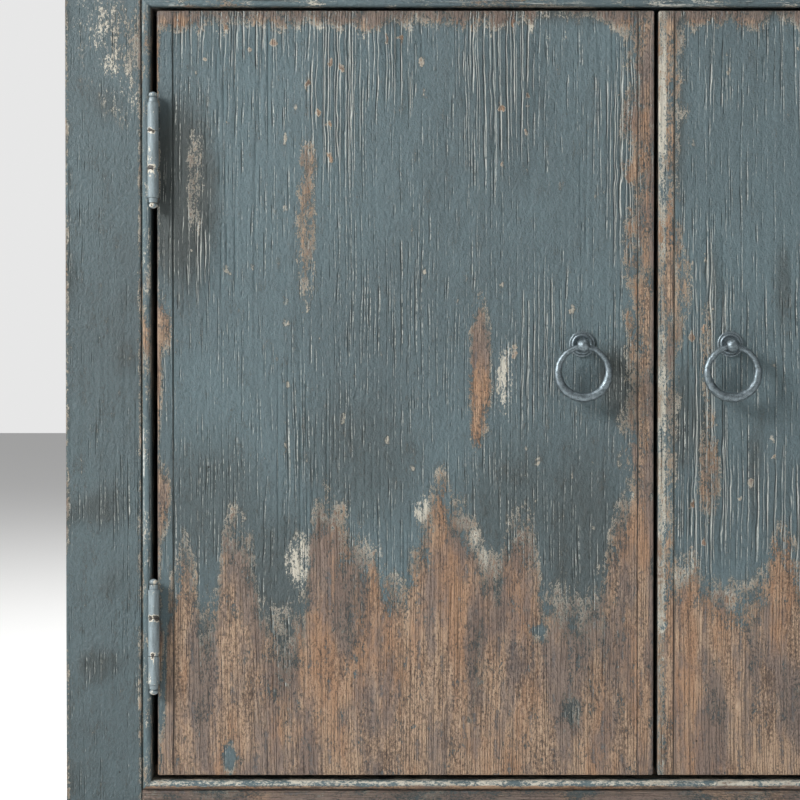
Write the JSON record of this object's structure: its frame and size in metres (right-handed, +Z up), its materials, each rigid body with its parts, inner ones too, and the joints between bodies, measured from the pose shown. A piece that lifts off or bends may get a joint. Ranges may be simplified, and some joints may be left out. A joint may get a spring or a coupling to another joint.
{
  "type": "sideboard",
  "caption": "Long painted pine sideboard with two cupboards, inset plank doors in a beaded face frame, butt hinges with finials and ring pulls.",
  "frame": {"origin": "on the floor, under the middle of the top board", "axes": "+X along the length to the right as seen from the front, +Y from front to back, +Z up; the doors are on the -Y side"},
  "size_m": [1.9164, 0.47, 0.8518],
  "materials": {
    "distressed_paint": "matt blue-grey paint, worn through to brown pine along edges and in patches",
    "worn_bead_paint": "blue-grey paint on a moulded bead, worn to ochre and brown wood along its nose",
    "inside_wood": "bare waxed pine",
    "painted_iron": "brushed-over blue-grey paint, chipped at the knuckle joints",
    "pewter": "dark antiqued steel, rubbed bright on the ring's front"
  },
  "bodies": {
    "root": {"back_panel": "inside_wood", "base_front": "distressed_paint", "base_left": "distressed_paint", "base_right": "distressed_paint", "bead_left_bottom": "worn_bead_paint", "bead_left_left": "worn_bead_paint", "bead_left_right": "worn_bead_paint", "bead_left_top": "worn_bead_paint", "bead_right_bottom": "worn_bead_paint", "bead_right_left": "worn_bead_paint", "bead_right_right": "worn_bead_paint", "bead_right_top": "worn_bead_paint", "centre_partition": "inside_wood", "cupboard_floor": "inside_wood", "hinge_far_left_lower_frame_leaf": "painted_iron", "hinge_far_left_lower_pin": "painted_iron", "hinge_far_left_upper_frame_leaf": "painted_iron", "hinge_far_left_upper_pin": "painted_iron", "hinge_far_right_lower_frame_leaf": "painted_iron", "hinge_far_right_lower_pin": "painted_iron", "hinge_far_right_upper_frame_leaf": "painted_iron", "hinge_far_right_upper_pin": "painted_iron", "hinge_mid_left_lower_frame_leaf": "painted_iron", "hinge_mid_left_lower_pin": "painted_iron", "hinge_mid_left_upper_frame_leaf": "painted_iron", "hinge_mid_left_upper_pin": "painted_iron", "hinge_mid_right_lower_frame_leaf": "painted_iron", "hinge_mid_right_lower_pin": "painted_iron", "hinge_mid_right_upper_frame_leaf": "painted_iron", "hinge_mid_right_upper_pin": "painted_iron", "rail_bottom": "distressed_paint", "rail_top": "distressed_paint", "shelf_left": "inside_wood", "shelf_right": "inside_wood", "side_left": "distressed_paint", "side_right": "distressed_paint", "stile_left": "distressed_paint", "stile_middle": "distressed_paint", "stile_right": "distressed_paint", "top_board": "distressed_paint"},
    "door_far_left": {"door_far_left": "distressed_paint", "hinge_far_left_lower_door_leaf": "painted_iron", "hinge_far_left_upper_door_leaf": "painted_iron", "pull_far_left_mount": "pewter"},
    "ring_far_left": {"pull_far_left_ring": "pewter"},
    "door_mid_left": {"door_mid_left": "distressed_paint", "hinge_mid_left_lower_door_leaf": "painted_iron", "hinge_mid_left_upper_door_leaf": "painted_iron", "pull_mid_left_mount": "pewter"},
    "ring_mid_left": {"pull_mid_left_ring": "pewter"},
    "door_mid_right": {"door_mid_right": "distressed_paint", "hinge_mid_right_lower_door_leaf": "painted_iron", "hinge_mid_right_upper_door_leaf": "painted_iron", "pull_mid_right_mount": "pewter"},
    "ring_mid_right": {"pull_mid_right_ring": "pewter"},
    "door_far_right": {"door_far_right": "distressed_paint", "hinge_far_right_lower_door_leaf": "painted_iron", "hinge_far_right_upper_door_leaf": "painted_iron", "pull_far_right_mount": "pewter"},
    "ring_far_right": {"pull_far_right_ring": "pewter"}
  },
  "joints": [
    {"name": "door_far_left_swing", "type": "hinge", "parent": "root", "child": "door_far_left", "pos_m": [-0.8618, -0.21482, 0.4455], "axis": [0, 0, -1], "range_deg": [0, 110]},
    {"name": "door_mid_left_swing", "type": "hinge", "parent": "root", "child": "door_mid_left", "pos_m": [-0.0654, -0.21482, 0.4455], "axis": [0, 0, 1], "range_deg": [0, 95]},
    {"name": "door_mid_right_swing", "type": "hinge", "parent": "root", "child": "door_mid_right", "pos_m": [0.0654, -0.21482, 0.4455], "axis": [0, 0, -1], "range_deg": [0, 95]},
    {"name": "door_far_right_swing", "type": "hinge", "parent": "root", "child": "door_far_right", "pos_m": [0.8618, -0.21482, 0.4455], "axis": [0, 0, 1], "range_deg": [0, 110]},
    {"name": "ring_far_left_swing", "type": "hinge", "parent": "door_far_left", "child": "ring_far_left", "pos_m": [-0.5224, -0.2223, 0.4826], "axis": [-1, 0, 0], "range_deg": [-12, 160]},
    {"name": "ring_mid_left_swing", "type": "hinge", "parent": "door_mid_left", "child": "ring_mid_left", "pos_m": [-0.4048, -0.2223, 0.4826], "axis": [-1, 0, 0], "range_deg": [-12, 160]},
    {"name": "ring_mid_right_swing", "type": "hinge", "parent": "door_mid_right", "child": "ring_mid_right", "pos_m": [0.4048, -0.2223, 0.4826], "axis": [-1, 0, 0], "range_deg": [-12, 160]},
    {"name": "ring_far_right_swing", "type": "hinge", "parent": "door_far_right", "child": "ring_far_right", "pos_m": [0.5224, -0.2223, 0.4826], "axis": [-1, 0, 0], "range_deg": [-12, 160]}
  ]
}
